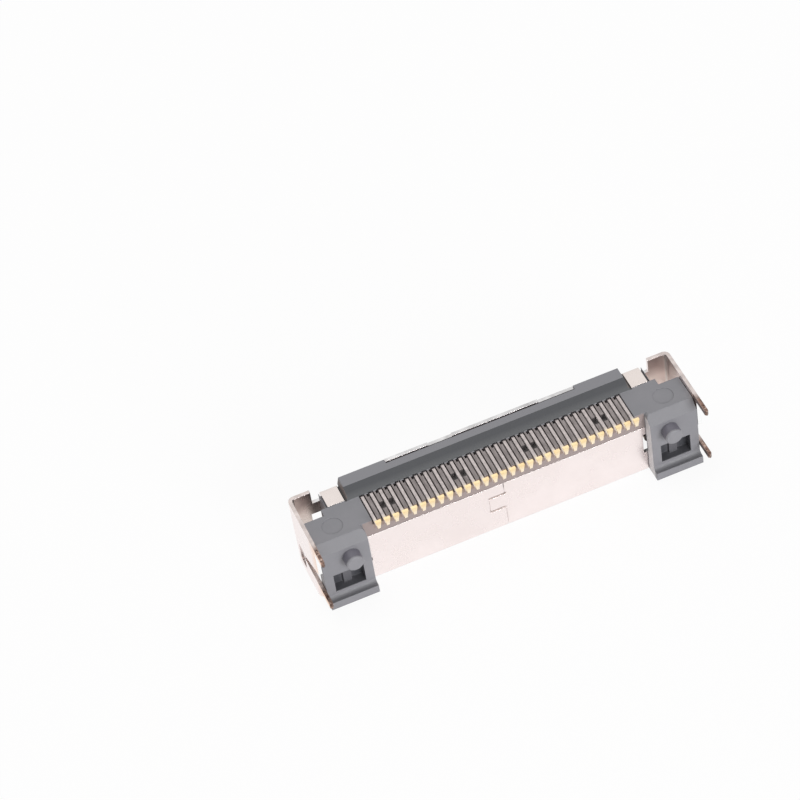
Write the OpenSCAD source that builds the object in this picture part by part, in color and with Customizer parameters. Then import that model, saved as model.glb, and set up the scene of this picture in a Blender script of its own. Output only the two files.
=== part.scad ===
// Dock connector receptacle: a shell folded from one sheet round a moulded comb housing
// that carries a row of formed contacts.
// Sizes are in millimetres. The mouth opens downwards and its rim lies at Z = 0.
// The long side of the mouth lies along X. The board lies at the -Y side, against the blocks,
// and each contact ends there in a solder foot that points up, away from the mouth.
// The origin is the middle of the mouth's rim.

/* [Contacts] */
// Number of contacts in the row
contact_count = 30; // [24:2:30]
// Distance from one contact to the next
pitch = 0.5; // [0.46:0.01:0.6]
// Thickness of the contact strip
strip_t = 0.15; // [0.1:0.01:0.16]
// Width of the blade in the tongue and the base
blade_w = 0.26; // [0.2:0.01:0.28]
// Width of the tail that lies in the comb
tail_w = 0.16; // [0.12:0.01:0.2]
// Width of the solder foot at its tip
foot_w = 0.33; // [0.24:0.01:0.38]
// Height of the solder foot above the deck
foot_rise = 0.47; // [0.35:0.01:0.7]
// Outer radius of the contact's two bends
contact_bend = 0.2; // [0.17:0.01:0.22]
// Radius of the raised contact point on each blade
point_r = 0.16; // [0.1:0.01:0.2]

/* [Mouth and shell] */
// Clear height of the mouth, across the tongue
mouth_h = 2.8; // [2.5:0.05:3.2]
// Room in the mouth from the last contact's middle to the end wall
end_room = 3.4; // [3.2:0.05:3.8]
// Thickness of the shell's sheet
sheet = 0.2; // [0.16:0.01:0.25]
// Outer radius of the shell's long bends
shell_bend = 0.35; // [0.31:0.01:0.5]
// Height of the shell's ends and corners
shell_h = 4.6; // [4.4:0.05:4.8]
// Height of the shell's wall on the board side
front_h = 3.2; // [3:0.05:3.4]
// Half the length of the raised apron of the rear wall
apron_half = 5.35; // [4.5:0.05:6]
// Width of the slit where the folded sheet meets itself
seam_gap = 0.04; // [0.02:0.01:0.08]
// Width of the lug that locks the slit
lug_w = 0.88; // [0.5:0.02:1.2]
// Height of the lug that locks the slit
lug_h = 0.88; // [0.6:0.02:1]
// Clear height above and below the lug
lug_gap = 0.14; // [0.1:0.02:0.32]

/* [Shell legs and tabs] */
// Width of each leg
leg_w = 0.3; // [0.2:0.01:0.4]
// How far the legs reach beyond the board face
leg_reach = 1.08; // [0.8:0.02:1.6]
// Height of the lower legs' upper edge
low_leg_z = 1.3; // [1.1:0.05:1.5]
// Height of the upper legs' broad plate above the lower legs, at its root
plate_clear = 0.35; // [0.1:0.05:0.6]
// Rise of the plate's lower edge from its root to the board face
plate_rise = 0.95; // [0.5:0.05:1.4]
// Width of the tabs folded over the housing
tab_w = 0.94; // [0.7:0.01:1.1]
// Length of the folded tabs, from the outside of the shell
tab_l = 1.28; // [1:0.02:1.5]
// Width of the spring fingers
finger_w = 0.55; // [0.4:0.05:0.65]
// Angle by which the spring fingers lean inwards
finger_lean = 9; // [5:1:12]

/* [Housing] */
// Height of the deck that carries the contact tails
deck_z = 4.3; // [4.1:0.05:4.5]
// Height of the floor at the bottom of the mouth
floor_z = 2.95; // [2.7:0.05:3]
// Thickness of the tongue
tongue_t = 0.56; // [0.45:0.01:0.7]
// Depth of the tongue's edge below the rim of the mouth
tongue_inset = 0.9; // [0.7:0.05:1.2]
// Distance of the board face from the shell's wall
block_proud = 0.68; // [0.6:0.02:0.9]
// Gap from the last contact's middle to the block
block_gap = 0.7; // [0.5:0.02:0.8]
// Reach of the block's lip beyond the board face
lip_reach = 0.36; // [0.2:0.02:0.5]
// Height of the block's lip
lip_h = 0.5; // [0.3:0.02:0.56]
// Radius of the block's rounded inner corner
block_round = 0.25; // [0.15:0.01:0.45]
// Width and height of the slope along the block's rear edge
block_slope = 0.48; // [0.2:0.02:0.56]
// Rise of the ledge above the deck
ledge_rise = 0.42; // [0.3:0.02:0.6]
// Width of the ledge's flat top
ledge_top = 0.74; // [0.5:0.02:0.85]
// Width of each slot in the comb
slot_w = 0.3; // [0.28:0.01:0.32]
// Depth of each slot in the comb
slot_depth = 0.34; // [0.25:0.01:0.5]

/* [Pegs] */
// Diameter of the locating pegs
peg_d = 0.96; // [0.8:0.02:1.1]
// Length of the locating pegs beyond the board face
peg_l = 0.7; // [0.5:0.05:1.2]
// Height of the peg's axis above the rim of the mouth
peg_z = 3.16; // [3:0.02:3.3]
// Distance along X from the last contact's middle to the peg's axis
peg_out = 1.75; // [1.6:0.05:2]

/* [Hidden] */
$fn = 48;
// Clearance between the moulding and the sheet round it
fit = 0.02;
// Reach of a cutting shape past the face that it cuts, and overlap of shapes joined into one
past = 0.1;

// The row of contacts and the mouth round it
row_l = (contact_count - 1) * pitch;
row_end = row_l / 2;
mouth_l = row_l + 2 * end_room;
in_x = mouth_l / 2;
in_y = mouth_h / 2;
out_x = in_x + sheet;
out_y = in_y + sheet;
board_y = -out_y - block_proud;

// The tongue and the posts at its ends
tongue_end = 0.65;
tongue_x = row_end + tongue_end;
tongue_y = 0.07;
tongue_slot_depth = strip_t + 0.07;
tongue_lead = 0.12;
post_w = 1.2;
post_gap = 0.4;
post_x = tongue_x + post_gap + post_w / 2;
post_front = -0.5;
post_round = 0.4;
post_inset = 1.05;

// The ledge along the rear of the deck
ledge_end = 0.7;
ledge_x = row_end + ledge_end;
ledge_flare = 0.1;
ledge_z = deck_z + ledge_rise;
ledge_back = out_y - 0.03;
ledge_cover = 0.1;
ledge_foot_y = tongue_y + tongue_slot_depth - contact_bend + ledge_cover;
hole_l = 0.22;
hole_side = (pitch - slot_w) * 0.5;
apron_gap = 0.1;
rib_recess_l = 0.5;
rib_recess_mid = -0.88;
rib_recess_step = 8;
rib_recess_first = 2;

// The folded tabs, the notches beside them, the rise of the apron above the shell's ends and
// the steps in its edge, which lie at shares of half its length
tab_x = row_end + 1.36;
tab_inner_r = 0.05;
tab_bend = sheet + tab_inner_r;
tab_end_y = out_y - tab_l;
tab_notch_w = 0.52;
tab_outer = tab_x + tab_w / 2;
corner_x = tab_outer + tab_notch_w;
notch_z = deck_z - 0.55;
apron_rise = 0.12;
apron_z = shell_h + apron_rise;
jog = 0.07;
jog_start = -0.55;
jog_end = -0.3;
last_jog = 0.62;

// The open corners behind the deck
corner_far_y = 0.3;
corner_near_y = -0.15;
corner_step = 0.12;
corner_near_step = 0.4;

// The blocks, with their pockets and lips
block_x = row_end + block_gap;
block_end = in_x - fit;
pocket_in = 1.2;
pocket_l = 1.68;
pocket_x = row_end + pocket_in;
pocket_z = lip_h + 0.35;
pocket_h = 1.26;
pocket_depth = block_proud - 0.1;
pocket_rib_x = pocket_x + 0.62;
pocket_rib_w = 0.46;
pocket_rib_rise = 0.16;
lip_fillet = 0.24;
peg_x = row_end + peg_out;
peg_chamfer = 0.06;
mark_x = row_end + 2.1;
mark_y = -0.98;
mark_r = 0.55;
mark_depth = 0.03;

// The legs, the slots that free them and the windows
leg_root_y = 0.1;
leg_tip_y = board_y - leg_reach;
leg_chamfer = 0.08;
side_window_y = 0.55;
side_window_w = 0.75;
side_window_z = 1.15;
side_window_h = 1.35;
side_window_round = 0.2;
rear_window_x = row_end + 2.03;
rear_window_w = finger_w + 0.4;
rear_window_z = 0.7;
rear_window_h = 2.27;
rear_finger_l = 1.75;
finger_bend = 0.6;
front_window_x = row_end + 0.5;
front_window_end = row_end + 2.65;
front_window_z = 1.3;
front_window_h = 1.35;
front_finger_l = 1.95;

// The slit in the wall on the board side and its lug
seam_x = -0.2;
lug_z = 1.46;
lug_relief = 0.12;

function contact_name(i) = str("contact_", i < 10 ? "0" : "", i);
function contact_x(i) = (i - 1) * pitch - row_end;

// One shape at each end of the row
module both_ends() {
    children();
    mirror([1, 0, 0]) children();
}

// A box from its lowest to its highest corner
module box(low, high) {
    translate(low) cube(high - low);
}

// An outline drawn as Y and Z, spread along X about x = 0
module along_x(length) {
    translate([-length / 2, 0, 0]) rotate([90, 0, 90]) linear_extrude(length) children();
}

// An outline drawn as X and Z, spread along Y from front to back
module along_y(front, back) {
    translate([0, back, 0]) rotate([90, 0, 0]) linear_extrude(back - front) children();
}

// A rectangle with round corners, centred
module round_rect(w, h, r) {
    square([w - 2 * r, h], center = true);
    square([w, h - 2 * r], center = true);
    for (x = [-1, 1], y = [-1, 1])
        translate([x * (w / 2 - r), y * (h / 2 - r)]) circle(r);
}

// A quarter of a bent strip: it starts along the first axis and leaves along the second
module quarter_bend(outer, thickness) {
    intersection() {
        difference() {
            circle(outer);
            circle(outer - thickness);
        }
        square(outer);
    }
}

// The sheet's rounded ring, seen along Z
module shell_ring() {
    difference() {
        round_rect(2 * out_x, 2 * out_y, shell_bend);
        round_rect(2 * in_x, 2 * in_y, shell_bend - sheet);
    }
}

// Rear edge of the sheet: the apron, the gaps beside it, the tab gaps and the ends
module rear_edge_cuts() {
    top = max(apron_z, shell_h) + past;
    both_ends() {
        box([apron_half, 0, notch_z], [tab_x - tab_w / 2, out_y + past, top]);
        box([tab_x - tab_w / 2 - past, 0, deck_z - tab_bend], [tab_outer + past, out_y + past, top]);
        box([tab_outer, 0, notch_z], [corner_x, out_y + past, top]);
        box([corner_x - past, -out_y - past, shell_h], [out_x + past, out_y + past, top]);
    }
    box([apron_half * jog_start, in_y - past, apron_z - jog],
        [apron_half * jog_end, out_y + past, top]);
    box([apron_half * last_jog, in_y - past, apron_z - jog],
        [apron_half + past, out_y + past, top]);
}

// Board side of the sheet: the low wall and the slots that free the legs
module front_edge_cuts() {
    top = max(apron_z, shell_h) + past;
    box([-in_x, -out_y - past, front_h], [in_x, -in_y + past, top]);
    both_ends()
        box([out_x - shell_bend, -out_y - past, low_leg_z - leg_w],
            [out_x + past, leg_root_y, top]);
}

// One leg, from its root in the end wall to its bevelled tip
module leg(top_z) {
    translate([in_x, 0, top_z - leg_w]) linear_extrude(leg_w) polygon([
        [0, leg_root_y],
        [sheet, leg_root_y],
        [sheet, leg_tip_y + leg_chamfer],
        [sheet - leg_chamfer, leg_tip_y],
        [leg_chamfer, leg_tip_y],
        [0, leg_tip_y + leg_chamfer]
    ]);
}

// The broad plate between the end wall and the upper leg, with a rising lower edge
module leg_plate() {
    root_z = low_leg_z + plate_clear;
    translate([in_x + sheet / 2, 0, 0]) along_x(sheet) polygon([
        [leg_root_y, root_z],
        [leg_root_y, shell_h],
        [board_y, shell_h],
        [board_y, root_z + plate_rise]
    ]);
}

// One tab of the rear wall, folded over the housing
module folded_tab() {
    translate([tab_x, 0, 0]) along_x(tab_w) {
        translate([out_y - tab_bend, deck_z - tab_bend]) quarter_bend(tab_bend, sheet);
        translate([tab_end_y, deck_z - sheet]) square([out_y - tab_bend - tab_end_y, sheet]);
        translate([in_y, notch_z]) square([sheet, deck_z - tab_bend - notch_z]);
    }
}

// A spring finger that stands up from the inner face at its root and leans towards -Y
module finger(length) {
    intersection() {
        along_x(finger_w) {
            translate([-finger_bend, 0]) intersection() {
                difference() {
                    circle(finger_bend + sheet);
                    circle(finger_bend);
                }
                polygon([[0, 0], [length, 0], [length, length * tan(finger_lean)]]);
            }
            translate([-finger_bend, 0]) rotate(finger_lean)
                translate([finger_bend, 0]) square([sheet, length]);
        }
        along_y(-length, sheet) {
            translate([-finger_w / 2, 0]) square([finger_w, length - finger_w / 2]);
            translate([0, length - finger_w / 2]) circle(finger_w / 2);
        }
    }
}

// The slit where the folded sheet meets itself, with its interlocking lug
module seam_slit() {
    left = seam_x - lug_w;
    low = lug_z - lug_gap;
    high = lug_z + lug_h;
    front = -out_y - past;
    back = -in_y + past;
    box([seam_x, front, high], [seam_x + seam_gap, back, front_h + past]);
    box([left, front, high], [seam_x + lug_relief, back, high + lug_gap]);
    box([left, front, low], [left + seam_gap, back, high + lug_gap]);
    box([left, front, low], [seam_x + seam_gap, back, lug_z]);
    box([seam_x, front, -past], [seam_x + seam_gap, back, low + past]);
}

// The shell, folded from one sheet
module shell() {
    color("gainsboro") {
        difference() {
            linear_extrude(max(apron_z, shell_h)) shell_ring();
            rear_edge_cuts();
            front_edge_cuts();
            seam_slit();
            both_ends() {
                translate([0, side_window_y, side_window_z]) rotate([90, 0, 90])
                    linear_extrude(out_x + past)
                    round_rect(side_window_w, side_window_h, side_window_round);
                box([rear_window_x - rear_window_w / 2, 0, rear_window_z],
                    [rear_window_x + rear_window_w / 2, out_y + past, rear_window_z + rear_window_h]);
                box([front_window_x, -out_y - past, front_window_z],
                    [front_window_end, 0, front_window_z + front_window_h]);
            }
        }
        both_ends() {
            leg(shell_h);
            leg(low_leg_z);
            leg_plate();
            folded_tab();
            translate([rear_window_x, in_y, rear_window_z - past]) finger(rear_finger_l + past);
            translate([front_window_end + past, -in_y, front_window_z + front_window_h / 2])
                rotate([0, -90, 0]) mirror([0, 1, 0]) finger(front_finger_l + past);
        }
    }
}

// Section of a block, seen along X: the board face, its slope, the lip and the lip's fillet
module block_section() {
    polygon([
        [board_y, 0],
        [board_y, deck_z - block_slope],
        [board_y + block_slope, deck_z],
        [-out_y - fit, deck_z],
        [-out_y - fit, 0]
    ]);
    translate([-out_y - fit - past, front_h + fit])
        square([fit + 2 * past, deck_z - front_h - fit]);
    translate([board_y - lip_reach, 0]) square([lip_reach + past, lip_h]);
    difference() {
        translate([board_y - lip_fillet, lip_h]) square(lip_fillet);
        translate([board_y - lip_fillet, lip_h + lip_fillet]) circle(lip_fillet);
    }
}

// Front view of a block, with its inner rear corner rounded
module block_front() {
    length = block_end - block_x;
    translate([block_x, 0]) square([length, deck_z - block_round]);
    translate([block_x + block_round, 0]) square([length - block_round, deck_z]);
    translate([block_x + block_round, deck_z - block_round]) circle(block_round);
}

// One block with its pocket and its locating peg
module block() {
    difference() {
        intersection() {
            translate([block_x + (block_end - block_x) / 2, 0, 0])
                along_x(block_end - block_x + 2 * past) block_section();
            along_y(board_y - lip_reach - past, 0) block_front();
        }
        difference() {
            box([pocket_x, board_y - past, pocket_z],
                [pocket_x + pocket_l, board_y + pocket_depth, pocket_z + pocket_h]);
            box([pocket_rib_x, board_y + pocket_depth - pocket_rib_rise, pocket_z - past],
                [pocket_rib_x + pocket_rib_w, 0, pocket_z + pocket_h + past]);
        }
    }
    translate([peg_x, board_y, peg_z]) rotate([90, 0, 0]) {
        translate([0, 0, -past]) cylinder(h = peg_l - peg_chamfer + past, d = peg_d);
        translate([0, 0, peg_l - peg_chamfer])
            cylinder(h = peg_chamfer, d1 = peg_d, d2 = peg_d - 2 * peg_chamfer);
    }
}

// The ledge behind the contact tails, with a sloping front and flared ends
module ledge() {
    intersection() {
        along_x(2 * (ledge_x + ledge_flare + past)) polygon([
            [ledge_foot_y, deck_z - past],
            [ledge_foot_y, deck_z],
            [ledge_back - ledge_top, ledge_z],
            [ledge_back, ledge_z],
            [ledge_back, deck_z - past]
        ]);
        along_y(ledge_foot_y - past, ledge_back + past) polygon([
            [-ledge_x - ledge_flare, deck_z - past],
            [-ledge_x - ledge_flare, deck_z],
            [-ledge_x, ledge_z],
            [ledge_x, ledge_z],
            [ledge_x + ledge_flare, deck_z],
            [ledge_x + ledge_flare, deck_z - past]
        ]);
    }
    both_ends()
        box([apron_half + fit, in_y - past, notch_z + fit], [ledge_x, ledge_back, deck_z]);
}

// What the shell and the mouth leave clear of the housing
module housing_reliefs() {
    top = ledge_z + past;
    box([-apron_half - fit, in_y - apron_gap, floor_z], [apron_half + fit, out_y + past, top]);
    both_ends() {
        box([tab_x - tab_w / 2 - fit, tab_end_y - fit, deck_z - sheet - fit],
            [tab_outer + past, out_y + past, top]);
        box([tab_outer + corner_step, corner_far_y, 0], [in_x + past, out_y + past, top]);
        box([tab_outer + corner_near_step, corner_near_y, 0], [in_x + past, out_y + past, top]);
        translate([mark_x, mark_y, deck_z - mark_depth]) cylinder(h = past, r = mark_r);
    }
}

// Passages for the contacts, open along the tongue, the base and the comb
module contact_passages() {
    for (i = [1:contact_count]) {
        x = contact_x(i);
        translate([x, 0, 0]) {
            box([-slot_w / 2, -out_y - past, deck_z - slot_depth],
                [slot_w / 2, ledge_foot_y, deck_z + past]);
            box([-slot_w / 2, 0, deck_z - slot_depth],
                [slot_w / 2, tongue_y + tongue_slot_depth, deck_z + fit]);
            box([-slot_w / 2, tongue_y - past, tongue_inset + tongue_lead],
                [slot_w / 2, tongue_y + tongue_slot_depth, deck_z]);
        }
    }
}

// Holes at the ledge's foot beside the contacts, and pairs of recesses in the ribs
module rib_holes() {
    for (i = [2:contact_count])
        translate([contact_x(i) - slot_w / 2, ledge_foot_y - hole_l, deck_z - slot_depth])
            box([-hole_side, 0, 0], [fit, hole_l, slot_depth + past]);
    for (i = [rib_recess_first:rib_recess_step:contact_count - 2], k = [0, 1])
        translate([contact_x(i + k) + pitch / 2, rib_recess_mid, deck_z - slot_depth])
            box([-(pitch - slot_w) / 2 - fit, -rib_recess_l / 2, 0],
                [(pitch - slot_w) / 2 + fit, rib_recess_l / 2, slot_depth + past]);
}

// One post in the mouth beyond the end of the tongue, with a round edge
module post() {
    along_y(post_front, corner_far_y) {
        translate([post_x - post_w / 2, post_inset + post_round])
            square([post_w, floor_z - post_inset - post_round + past]);
        translate([post_x - post_w / 2 + post_round, post_inset])
            square([post_w - 2 * post_round, post_round]);
        for (side = [-1, 1])
            translate([post_x + side * (post_w / 2 - post_round), post_inset + post_round])
                circle(post_round);
    }
}

// The moulded housing: base, tongue, comb, ledge, blocks and pegs
module housing() {
    color("slategray") difference() {
        union() {
            box([-in_x + fit, -in_y + fit, floor_z], [in_x - fit, in_y - fit, deck_z]);
            box([-in_x + fit, -out_y, front_h + fit], [in_x - fit, 0, deck_z]);
            box([-tongue_x, tongue_y, tongue_inset], [tongue_x, tongue_y + tongue_t, floor_z + past]);
            ledge();
            both_ends() {
                block();
                post();
            }
        }
        housing_reliefs();
        contact_passages();
        rib_holes();
    }
}

// One contact, formed from a strip: blade, bend, tail, bend and solder foot
module contact(i) {
    blade_y = tongue_y + tongue_slot_depth - strip_t;
    back_y = blade_y + strip_t;
    blade_z = tongue_inset + tongue_lead + fit;
    neck_z = deck_z - contact_bend;
    foot_z = deck_z - strip_t + contact_bend;
    foot_top = deck_z + foot_rise;
    tail_end = board_y + contact_bend;
    color("goldenrod") translate([contact_x(i), 0, 0]) {
        along_x(blade_w) {
            translate([blade_y, blade_z]) square([strip_t, neck_z - blade_z]);
            translate([back_y - point_r, blade_z + 3 * point_r]) circle(point_r);
        }
        along_x(tail_w) {
            translate([back_y - contact_bend, neck_z]) quarter_bend(contact_bend, strip_t);
            translate([blade_y, neck_z - past]) square([strip_t, past]);
            translate([tail_end, deck_z - strip_t])
                square([back_y - contact_bend - tail_end, strip_t]);
            translate([tail_end, foot_z]) rotate(180) quarter_bend(contact_bend, strip_t);
            translate([board_y, foot_z]) square([strip_t, past]);
        }
        along_y(board_y, board_y + strip_t) polygon([
            [-tail_w / 2, foot_z],
            [-foot_w / 2, foot_top],
            [foot_w / 2, foot_top],
            [tail_w / 2, foot_z]
        ]);
    }
}

shell();
housing();
for (i = [1:contact_count]) contact(i);
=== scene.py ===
import math

import bmesh
import bpy
from mathutils import Matrix, Vector


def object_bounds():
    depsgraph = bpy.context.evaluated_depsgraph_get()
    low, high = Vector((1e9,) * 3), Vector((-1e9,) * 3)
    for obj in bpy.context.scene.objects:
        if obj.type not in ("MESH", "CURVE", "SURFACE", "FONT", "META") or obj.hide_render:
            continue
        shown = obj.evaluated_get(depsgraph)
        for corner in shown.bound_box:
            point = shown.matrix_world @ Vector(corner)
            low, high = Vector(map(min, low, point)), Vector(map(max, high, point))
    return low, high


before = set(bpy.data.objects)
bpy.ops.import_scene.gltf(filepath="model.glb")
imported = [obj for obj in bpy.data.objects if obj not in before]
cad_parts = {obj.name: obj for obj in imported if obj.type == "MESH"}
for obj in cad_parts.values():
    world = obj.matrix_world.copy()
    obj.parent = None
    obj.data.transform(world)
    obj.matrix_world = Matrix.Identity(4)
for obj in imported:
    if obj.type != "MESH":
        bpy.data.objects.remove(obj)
cad_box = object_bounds()

# The camera looks down on the board side of the connector from the left, as the photograph does.
# Its lens is long, so the row of contacts hardly narrows with distance.
camera_place = Vector((-0.034042, -0.109538, 0.130913))
camera_target = Vector((-0.002421, 0.007281, 0.00225))
camera_roll = math.radians(-10.07)
camera_lens = 148.5
camera_sensor = 36
camera_near = 0.005
camera_far = 10


def new_object(name, data):
    """Put a camera, a mesh or a lamp into the scene."""
    thing = bpy.data.objects.new(name, data)
    bpy.context.scene.collection.objects.link(thing)
    return thing


def aimed(place, target):
    """Work out the matrix of a camera or a lamp that stands at a place and points at a target."""
    turn = (target - place).to_track_quat("-Z", "Y").to_matrix().to_4x4()
    return Matrix.Translation(place) @ turn


camera_data = bpy.data.cameras.new("photo_camera")
camera_data.lens = camera_lens
camera_data.sensor_width = camera_sensor
camera_data.clip_start = camera_near
camera_data.clip_end = camera_far
camera = new_object("photo_camera", camera_data)
camera.matrix_world = aimed(camera_place, camera_target) @ Matrix.Rotation(camera_roll, 4, "Z")
bpy.context.scene.camera = camera

# The floor is a pale flat square, made from one grid face.
# The camera and the metal see most of it as plain white, and it keeps a faint shadow.
floor_size = 1.2
floor_drop = 0.00001
floor_colour = (0.86, 0.85, 0.85, 1)
floor_white = 0.9
plain_white = (1, 1, 1, 1)
floor_mesh = bpy.data.meshes.new("floor")
work = bmesh.new()
bmesh.ops.create_grid(work, x_segments=1, y_segments=1, size=floor_size / 2)
bmesh.ops.translate(work, vec=(0, 0, -floor_drop), verts=work.verts)
work.to_mesh(floor_mesh)
work.free()
floor = new_object("floor", floor_mesh)


def fresh_tree(owner):
    """Give a material or a world an empty node tree, and return the tree."""
    owner.use_nodes = True
    owner.node_tree.nodes.clear()
    return owner.node_tree


def feed(tree, node, inputs):
    """Give each named or numbered input of a node its value, or link another node's output to it."""
    for name, value in inputs.items():
        if isinstance(value, bpy.types.NodeSocket):
            tree.links.new(value, node.inputs[name])
        else:
            node.inputs[name].default_value = value


def add_node(tree, kind, inputs):
    """Add a node of a kind, with its inputs fed, and return it."""
    node = tree.nodes.new(kind)
    feed(tree, node, inputs)
    return node


def add_math(tree, operation, first, second=0):
    """Work out a value from one or two others, and return it."""
    node = add_node(tree, "ShaderNodeMath", {0: first, 1: second})
    node.operation = operation
    return node.outputs[0]


def add_seen(tree, *kinds):
    """Return a value that is 1 where a ray of one of these kinds sees the surface."""
    rays = add_node(tree, "ShaderNodeLightPath", {}).outputs
    seen = rays[kinds[0]]
    for kind in kinds[1:]:
        seen = add_math(tree, "MAXIMUM", seen, rays[kind])
    return seen


floor_material = bpy.data.materials.new("pale_floor")
tree = fresh_tree(floor_material)
seen = add_seen(tree, "Is Camera Ray", "Is Glossy Ray")
share = add_math(tree, "MULTIPLY", seen, floor_white)
matt = add_node(tree, "ShaderNodeBsdfDiffuse", {"Color": floor_colour})
glow = add_node(tree, "ShaderNodeEmission", {"Color": plain_white})
blend = add_node(tree, "ShaderNodeMixShader", {"Fac": share, 1: matt.outputs[0], 2: glow.outputs[0]})
add_node(tree, "ShaderNodeOutputMaterial", {"Surface": blend.outputs[0]})
floor_mesh.materials.append(floor_material)

# The room is white all round, and two large soft lamps light it from above and from the front.
# Their level leaves each colour about as it is written.
ambient_strength = 0.62
white_strength = 1
lamp_target = Vector((0, 0, 0))
lamps = (
    ("overhead_softbox", (-0.15, 0.2, 0.6), 0.35, 0.95, (1, 0.99, 0.98)),
    ("front_softbox", (0.12, -0.6, 0.2), 0.3, 2.9, (0.98, 0.98, 1)),
)
world = bpy.data.worlds.new("white_room")
bpy.context.scene.world = world
tree = fresh_tree(world)
seen = add_seen(tree, "Is Camera Ray", "Is Glossy Ray", "Is Transmission Ray")
strengths = {"Value": seen, "To Min": ambient_strength, "To Max": white_strength}
level = add_node(tree, "ShaderNodeMapRange", strengths)
sky = add_node(tree, "ShaderNodeBackground", {"Color": plain_white, "Strength": level.outputs["Result"]})
add_node(tree, "ShaderNodeOutputWorld", {"Surface": sky.outputs[0]})
for name, place, width, watts, colour in lamps:
    lamp_data = bpy.data.lights.new(name, "AREA")
    lamp_data.size = width
    lamp_data.energy = watts
    lamp_data.color = colour
    lamp = new_object(name, lamp_data)
    lamp.matrix_world = aimed(Vector(place), lamp_target)

# The housing is one moulding in grey glass-filled nylon, pushed into the shell from the rear.
# It is matt from the mould. Painted shade darkens the slots, the slope behind the comb, the ledge's
# ends, the pegs' sides, the pockets and the corner above the lip, and painted light brightens the
# board strip and the blocks' inner sides. The strip behind the feet has painted shadow and gold
# reflection, and the comb's tops a streaked painted reflection of the tails.
nylon_colour = (0.195, 0.195, 0.21, 1)
nylon_light = (0.22, 0.217, 0.232, 1)
comb_reflection_colour = (0.33, 0.29, 0.283, 1)
comb_reflection_dark = (0.16, 0.137, 0.133, 1)
slot_shade_colour = (0.11, 0.1, 0.1, 1)
foot_hole_shade_colour = (0.012, 0.01, 0.01, 1)
slope_shade_colour = (0.082, 0.085, 0.089, 1)
slope_top_shade_colour = (0.05, 0.052, 0.057, 1)
ledge_top_colour = (0.207, 0.206, 0.221, 1)
board_strip_light_colour = (0.275, 0.225, 0.215, 1)
feet_strip_shadow_and_reflection = (0.23, 0.168, 0.138, 1)
block_slope_colour = (0.185, 0.184, 0.196, 1)
ledge_side_shade_colour = (0.11, 0.09, 0.085, 1)
deck_end_shade_colour = (0.03, 0.026, 0.026, 1)
peg_side_shade_colour = (0.125, 0.12, 0.145, 1)
pocket_shade_colour = (0.057, 0.058, 0.066, 1)
pocket_rib_shade_colour = (0.122, 0.12, 0.132, 1)
lip_shade_colour = (0.145, 0.145, 0.155, 1)
block_inner_light_colour = (0.595, 0.59, 0.597, 1)
mottle_scale = (500, 500, 500)
scuff_scale = (9000, 1800, 4000)
grain_scale = (22000, 22000, 22000)
grain_strength = 0.2
nylon_gloss_scale = (3000, 3000, 3000)
nylon_roughness = (0.4, 0.55)
nylon_ior = 1.5
nylon_edge_radius = 0.00004
edge_samples = 6
relief_depth = 0.00001

# A zone has a low and a high corner, whose X is the distance from the middle, and a softness.
# Its Y grows from the board to the back and its Z from the mouth to the rear, and where it
# reaches past the part, it ends a margin outside the part's box. The housing's zones have their
# colours too, and a later one lies over those before it.
margin = 0.003
past_back = cad_box[1].y + margin
past_rear = cad_box[1].z + margin
over_middle = -0.001
comb_end = 0.0074
comb_board = -0.0016
slot_floor = 0.0039
slot_rim = 0.00427
slot_end = 0.00022
slope_foot = 0.0002
ledge_end = 0.0081
strip_rim = 0.00428
over_deck = 0.00432
block_start = 0.0079
block_board = -0.0023
peg_start = 0.0084
pocket_floor = -0.0015
comb_zone = ((over_middle, comb_board, 0.00425), (comb_end, 0.00016, 0.00435), 0.00002)
housing_zones = (
    # Painted shade in the comb's slots, darker still in the holes at their rear ends.
    ((over_middle, comb_board, slot_floor), (comb_end, slot_end, slot_rim), 0.00002, slot_shade_colour),
    ((over_middle, -0.00006, slot_floor), (comb_end, slot_end, slot_rim), 0.00001, foot_hole_shade_colour),
    # Painted shade on the slope behind the comb, darkest near its top.
    ((over_middle, slope_foot, 0.004305), (ledge_end, 0.00083, past_rear), 0.00002, slope_shade_colour),
    ((over_middle, slope_foot, 0.00438), (ledge_end, 0.00099, past_rear), 0.00016, slope_top_shade_colour),
    ((over_middle, 0.000835, 0.00471), (ledge_end, past_back, past_rear), 0.000005, ledge_top_colour),
    # Painted light brightens the board-side strip under the deck.
    ((over_middle, -0.00165, 0.0032), (0.00795, -0.00157, strip_rim), 0.00002, board_strip_light_colour),
    # Painted shadow of the feet and painted gold reflection on the strip behind them.
    ((over_middle, -0.0019, 0.00362), (comb_end, -0.0014, strip_rim), 0.0001, feet_strip_shadow_and_reflection),
    ((block_start, block_board, 0.00379), (0.0107, -0.00178, over_deck), 0.00003, block_slope_colour),
    # Painted shade on the ledge's ends and in the gap on the deck beside them.
    ((0.00796, 0.0003, 0.00431), (0.0082, past_back, past_rear), 0.00001, ledge_side_shade_colour),
    ((0.00792, slope_foot, 0.004), (0.00814, past_back, over_deck), 0.00001, deck_end_shade_colour),
    # Painted shade on the pegs' sides.
    ((peg_start, -0.00287, 0.0026), (0.0096, block_board, 0.0037), 0.00004, peg_side_shade_colour),
    # Painted shade in the pockets, a little lighter on the rib inside each.
    ((peg_start, -0.00226, 0.0008), (0.0102, pocket_floor, 0.0022), 0.00006, pocket_shade_colour),
    ((0.00885, -0.0021, 0.0007), (0.00975, pocket_floor, 0.0019), 0.0003, pocket_rib_shade_colour),
    # Painted shade in the corner between each block's face and the lip below it.
    ((block_start, -0.00265, 0.00047), (0.0108, -0.00229, 0.00077), 0.00002, lip_shade_colour),
    # Painted light on the blocks' inner sides.
    ((0.00793, -0.0024, -0.0001), (0.007956, -0.0017, 0.0041), 0.000004, block_inner_light_colour),
)

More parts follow.
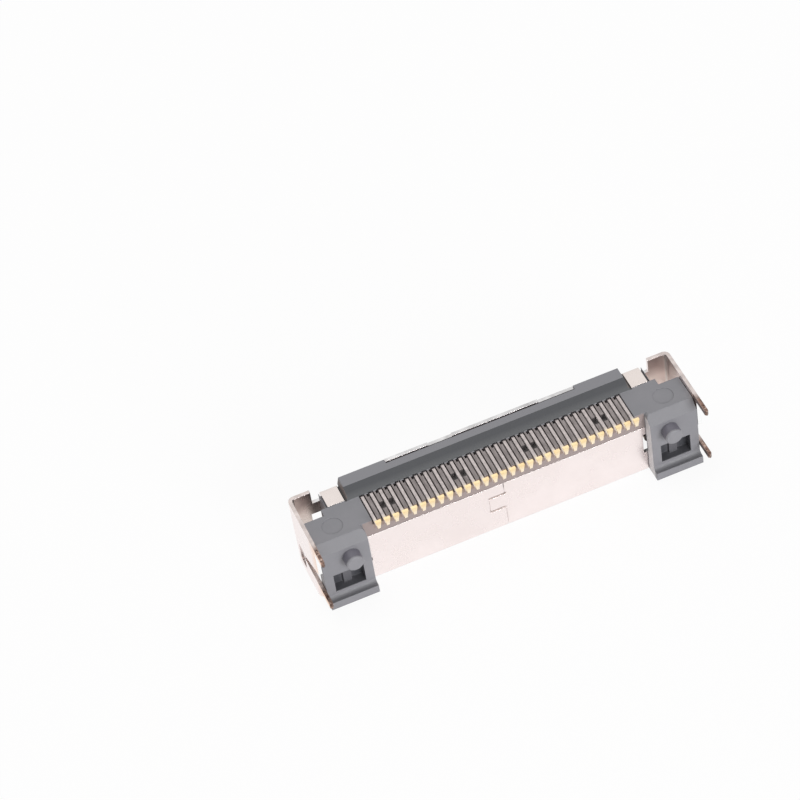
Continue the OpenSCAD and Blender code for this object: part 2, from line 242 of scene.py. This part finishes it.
# Two effects serve more than one material, so each is a node group. One marks a zone, and the
# other gives marks drawn out along an axis.
noise_detail = 4
noise_roughness = 0.6
noise_low = 0.3
noise_high = 0.7


def new_group(name, inputs, output):
    """Start a node group with named sockets, and return it with what it is given."""
    group = bpy.data.node_groups.new(name, "ShaderNodeTree")
    for title, kind in inputs.items():
        group.interface.new_socket(title, in_out="INPUT", socket_type=kind)
    group.interface.new_socket(output, in_out="OUTPUT", socket_type="NodeSocketFloat")
    return group, add_node(group, "NodeGroupInput", {}).outputs


def add_vector_math(tree, operation, first, second):
    """Work out a vector from two others, and return it."""
    node = add_node(tree, "ShaderNodeVectorMath", {0: first, 1: second})
    node.operation = operation
    return node.outputs[0]


def zone_group():
    """Build a mask that is 0 outside a box and on its faces, and 1 deeper inside than its softness.

    The box is given by two corners, and it is there at both ends, because X loses its sign.
    """
    corner = "NodeSocketVector"
    sockets = {"Low Corner": corner, "High Corner": corner, "Softness": "NodeSocketFloat"}
    group, given = new_group("zone", sockets, "Mask")
    coords = add_node(group, "ShaderNodeTexCoord", {})
    split = add_node(group, "ShaderNodeSeparateXYZ", {"Vector": coords.outputs["Object"]}).outputs
    either_end = add_math(group, "ABSOLUTE", split["X"])
    folded = add_node(group, "ShaderNodeCombineXYZ", {"X": either_end, "Y": split["Y"], "Z": split["Z"]})
    place = folded.outputs["Vector"]
    past_low = add_vector_math(group, "SUBTRACT", place, given["Low Corner"])
    short_of_high = add_vector_math(group, "SUBTRACT", given["High Corner"], place)
    inside = add_vector_math(group, "MINIMUM", past_low, short_of_high)
    depths = add_node(group, "ShaderNodeSeparateXYZ", {"Vector": inside}).outputs
    least = add_math(group, "MINIMUM", depths["X"], depths["Y"])
    least = add_math(group, "MINIMUM", least, depths["Z"])
    fade = add_node(group, "ShaderNodeMapRange", {"Value": least, "From Max": given["Softness"]})
    add_node(group, "NodeGroupOutput", {"Mask": fade.outputs["Result"]})
    return group


def marks_group():
    """Build noise that is drawn out by a scale for each axis, and runs from a low to a high value."""
    sockets = {"Scale": "NodeSocketVector", "Low": "NodeSocketFloat", "High": "NodeSocketFloat"}
    group, given = new_group("marks", sockets, "Marks")
    coords = add_node(group, "ShaderNodeTexCoord", {})
    drawn = add_vector_math(group, "MULTIPLY", coords.outputs["Object"], given["Scale"])
    noise = add_node(group, "ShaderNodeTexNoise", {
        "Vector": drawn,
        "Scale": 1,
        "Detail": noise_detail,
        "Roughness": noise_roughness,
    })
    spread = add_node(group, "ShaderNodeMapRange", {
        "Value": noise.outputs["Fac"],
        "From Min": noise_low,
        "From Max": noise_high,
        "To Min": given["Low"],
        "To Max": given["High"],
    })
    add_node(group, "NodeGroupOutput", {"Marks": spread.outputs["Result"]})
    return group


def add_group(tree, group, inputs):
    """Place a group in a material, and return its only output."""
    node = tree.nodes.new("ShaderNodeGroup")
    node.node_tree = group
    feed(tree, node, inputs)
    return node.outputs[0]


def add_zone(tree, low, high, softness):
    """Place a zone in a material, and return its mask."""
    return add_group(tree, zone, {"Low Corner": low, "High Corner": high, "Softness": softness})


def add_marks(tree, scale, low=0, high=1):
    """Place marks in a material, and return their value."""
    return add_group(tree, marks, {"Scale": scale, "Low": low, "High": high})


def add_mix(tree, first, second, share):
    """Mix two colours, given as values or outputs, by a share, and return the result."""
    first_colour = 6
    second_colour = 7
    mixed_colour = 2
    node = tree.nodes.new("ShaderNodeMix")
    node.data_type = "RGBA"
    feed(tree, node, {first_colour: first, second_colour: second, "Factor": share})
    return node.outputs[mixed_colour]


def add_soft_edges(tree, radius):
    """Round the edges in the shading, and return the normal."""
    node = add_node(tree, "ShaderNodeBevel", {"Radius": radius})
    node.samples = edge_samples
    return node.outputs["Normal"]


def add_surface(tree, inputs):
    """End a material with one shader, whose inputs are given."""
    shader = add_node(tree, "ShaderNodeBsdfPrincipled", inputs)
    add_node(tree, "ShaderNodeOutputMaterial", {"Surface": shader.outputs[0]})


def dress(node, material):
    """Give a solid of the frame its material, in place of the plain one."""
    node.data.materials.clear()
    node.data.materials.append(material)


zone = zone_group()
marks = marks_group()
housing_material = bpy.data.materials.new("grey_nylon")
tree = fresh_tree(housing_material)
colour = add_mix(tree, nylon_colour, nylon_light, add_marks(tree, mottle_scale))
# The comb's tops get a pinker streaked tone, a painted reflection of the metal tails.
comb = add_mix(tree, comb_reflection_dark, comb_reflection_colour, add_marks(tree, scuff_scale))
colour = add_mix(tree, colour, comb, add_zone(tree, *comb_zone))
for low, high, softness, tint in housing_zones:
    colour = add_mix(tree, colour, tint, add_zone(tree, low, high, softness))
relief = add_node(tree, "ShaderNodeBump", {
    "Height": add_marks(tree, grain_scale),
    "Strength": grain_strength,
    "Distance": relief_depth,
    "Normal": add_soft_edges(tree, nylon_edge_radius),
})
add_surface(tree, {
    "Base Color": colour,
    "Roughness": add_marks(tree, nylon_gloss_scale, *nylon_roughness),
    "IOR": nylon_ior,
    "Normal": relief.outputs["Normal"],
})
dress(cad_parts["housing"], housing_material)

# The shell is stamped and folded from one copper-alloy sheet with bright tin plate.
# The plate is satin and warmer towards the legs. The sheared edges are duller, and on the legs
# they show the bare copper, torn by the cutting tool and flecked with painted glints.
plate_colour = (0.93, 0.835, 0.815, 1)
plate_light = (0.97, 0.88, 0.865, 1)
warm_colour = (0.93, 0.65, 0.49, 1)
inside_shade_colour = (0.76, 0.67, 0.62, 1)
inside_shade_dark = (0.4, 0.33, 0.31, 1)
tab_colour = (0.76, 0.69, 0.655, 1)
tab_side_shade_colour = (0.1, 0.08, 0.07, 1)
apron_edge = (0.5, 0.49, 0.49, 1)
apron_light = (0.76, 0.75, 0.75, 1)
end_edge = (0.5, 0.44, 0.42, 1)
end_light = (0.74, 0.66, 0.63, 1)
slit_light_colour = (1, 0.9, 0.86, 1)
copper_colour = (0.38, 0.24, 0.19, 1)
copper_dark = (0.02, 0.01, 0.008, 1)
copper_glint = (0.62, 0.48, 0.41, 1)
leg_inside_colour = (0.34, 0.25, 0.22, 1)
plate_end_highlight_colour = (1, 1, 1, 1)
smudge_scale = (450, 450, 450)
streak_scale = (2000, 2000, 2000)
tear_scale = (6500, 6500, 6500)
glint_scale = (5000, 5000, 5000)
glint_range = (-1.5, 1.2)
rolling_scale = (500, 9000, 9000)
rolling_strength = 0.03
plate_roughness = (0.2, 0.36)
plate_edge_radius = 0.000015
sheared_limit = 0.8
bright_metal = 1
dull_metal = 0.2
past_board = cad_box[0].y - margin
past_mouth = cad_box[0].z - margin
past_end = cad_box[1].x + margin
leg_start = 0.0105
leg_root = -0.0019
leg_tips_zone = ((0.008, past_board, past_mouth), (past_end, -0.0013, past_rear), 0.001)
rear_zone = ((over_middle, past_board, 0.0032), (0.0109, past_back, past_rear), 0.0008)
inside_zone = ((over_middle, -0.00138, past_mouth), (0.01064, 0.00141, 0.00455), 0.00001)
flat_tabs_zone = ((0.0079, 0.0002, 0.0041), (0.0093, past_back, 0.0044), 0.00001)
tab_sides_zone = ((0.0081, 0.0003, 0.004), (0.00816, past_back, 0.0046), 0.000005)
ends_zone = ((0.0094, past_board, past_mouth), (past_end, past_back, past_rear), 0.0003)
slit_zone = ((over_middle, -0.0017, 0.0011), (0.0013, -0.0013, 0.0026), 0.00001)
legs_zone = ((0.0085, past_board, past_mouth), (past_end, leg_root, past_rear), 0.0005)
leg_inside_zone = ((leg_start, past_board, past_mouth), (0.01068, leg_root, past_rear), 0.00001)
leg_ends_zone = ((leg_start, past_board, past_mouth), (past_end, -0.00327, past_rear), 0.000005)
plate_end_zone = ((0.0106, -0.00229, 0.0015), (past_end, -0.00227, 0.00429), 0.000002)


def add_metal_share(tree, dull):
    """Return how metallic a plated piece is: wholly, and much less where the dull mask is 1."""
    shares = {"Value": dull, "To Min": bright_metal, "To Max": dull_metal}
    return add_node(tree, "ShaderNodeMapRange", shares).outputs["Result"]


# The plate is warmer at the legs' tips and duller on the folded tabs. Painted shade darkens it
# inside the shell, more towards the rear, and on the tabs' sides.
shell_material = bpy.data.materials.new("tin_plate")
tree = fresh_tree(shell_material)
colour = add_mix(tree, plate_colour, plate_light, add_marks(tree, smudge_scale))
colour = add_mix(tree, colour, warm_colour, add_zone(tree, *leg_tips_zone))
# Painted shade darkens the plate inside the shell, more towards the rear.
inside = add_mix(tree, inside_shade_colour, inside_shade_dark, add_zone(tree, *rear_zone))
colour = add_mix(tree, colour, inside, add_zone(tree, *inside_zone))
flat_tabs = add_zone(tree, *flat_tabs_zone)
colour = add_mix(tree, colour, tab_colour, flat_tabs)
# Painted shade on the tabs' sides.
colour = add_mix(tree, colour, tab_side_shade_colour, add_zone(tree, *tab_sides_zone))

# The faces that look up or down are sheared edges, apart from the folded tabs.
coords = add_node(tree, "ShaderNodeTexCoord", {})
facing = add_node(tree, "ShaderNodeSeparateXYZ", {"Vector": coords.outputs["Normal"]})
upright = add_math(tree, "ABSOLUTE", facing.outputs["Z"])
sheared = add_math(tree, "GREATER_THAN", upright, sheared_limit)
sheared_edge = add_math(tree, "SUBTRACT", sheared, flat_tabs)
sheared_edge.node.use_clamp = True
streaks = add_marks(tree, streak_scale)
apron = add_mix(tree, apron_edge, apron_light, streaks)
ends = add_mix(tree, end_edge, end_light, streaks)
edge = add_mix(tree, apron, ends, add_zone(tree, *ends_zone))
# Painted light on the sheared edges in the slit beside the lug, which are also made less metallic there.
slit = add_zone(tree, *slit_zone)
edge = add_mix(tree, edge, slit_light_colour, slit)
torn_with_painted_glints = add_mix(tree, copper_dark, copper_colour, add_marks(tree, tear_scale))
# Painted glints fleck the torn copper.
torn_with_painted_glints = add_mix(tree, torn_with_painted_glints, copper_glint, add_marks(tree, glint_scale, *glint_range))
edge = add_mix(tree, edge, torn_with_painted_glints, add_zone(tree, *legs_zone))
colour = add_mix(tree, colour, edge, sheared_edge)

# The legs are darker on their inner sides and torn, with painted glints, at their ends, and the upper
# legs' broad plates end in a painted white highlight at the board. The rolled sheet has faint lines
# along the row.
colour = add_mix(tree, colour, leg_inside_colour, add_zone(tree, *leg_inside_zone))
colour = add_mix(tree, colour, torn_with_painted_glints, add_zone(tree, *leg_ends_zone))
# A painted white highlight where the upper legs' plates end at the board.
colour = add_mix(tree, colour, plate_end_highlight_colour, add_zone(tree, *plate_end_zone))
relief = add_node(tree, "ShaderNodeBump", {
    "Height": add_marks(tree, rolling_scale),
    "Strength": rolling_strength,
    "Distance": relief_depth,
    "Normal": add_soft_edges(tree, plate_edge_radius),
})
add_surface(tree, {
    "Base Color": colour,
    "Metallic": add_metal_share(tree, add_math(tree, "MULTIPLY", slit, sheared)),
    "Roughness": add_marks(tree, smudge_scale, *plate_roughness),
    "Normal": relief.outputs["Normal"],
})
dress(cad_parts["shell"], shell_material)

# The contacts are formed strips of copper alloy, plated pale along the tails and gold on the feet
# that are soldered. They are pushed into the housing's slots side by side, and the feet are rubbed.
tail_colour = (0.42, 0.375, 0.365, 1)
tail_light = (0.6, 0.54, 0.525, 1)
tail_side_light_colour = (0.97, 0.9, 0.88, 1)
gold_colour = (1, 0.82, 0.5, 1)
gold_worn = (0.96, 0.72, 0.4, 1)
gold_bend_highlight = (1, 0.87, 0.67, 1)
rub_scale = (9000, 5000, 9000)
rub_strength = 0.1
wear_scale = (2400, 1200, 3000)
contact_gloss_scale = (4000, 4000, 4000)
contact_roughness = (0.2, 0.42)
foot_tips_zone = ((over_middle, past_board, 0.0044), (past_end, -0.0018, past_rear), 0.0003)
feet_zone = ((over_middle, past_board, 0.003), (past_end, -0.0015, past_rear), 0.0005)
tail_sides_zone = ((over_middle, -0.0021, 0.0041), (past_end, 0.0001, 0.00429), 0.00001)
contact_material = bpy.data.materials.new("contact_plate")
tree = fresh_tree(contact_material)
rubs = add_marks(tree, rub_scale)
tail = add_mix(tree, tail_colour, tail_light, rubs)
gold = add_mix(tree, gold_colour, gold_worn, add_marks(tree, wear_scale))
# A painted highlight makes the feet pale low down at their bends, below the tips.
gold = add_mix(tree, gold_bend_highlight, gold, add_zone(tree, *foot_tips_zone))
colour = add_mix(tree, tail, gold, add_zone(tree, *feet_zone))
# Painted light on the tails' sides in the slots, which are also made less metallic there.
tail_sides = add_zone(tree, *tail_sides_zone)
colour = add_mix(tree, colour, tail_side_light_colour, tail_sides)
relief = add_node(tree, "ShaderNodeBump", {
    "Height": rubs,
    "Strength": rub_strength,
    "Distance": relief_depth,
})
add_surface(tree, {
    "Base Color": colour,
    "Metallic": add_metal_share(tree, tail_sides),
    "Roughness": add_marks(tree, contact_gloss_scale, *contact_roughness),
    "Normal": relief.outputs["Normal"],
})
for name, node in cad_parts.items():
    if name.startswith("contact_"):
        dress(node, contact_material)

bpy.context.scene.view_settings.view_transform = "Standard"
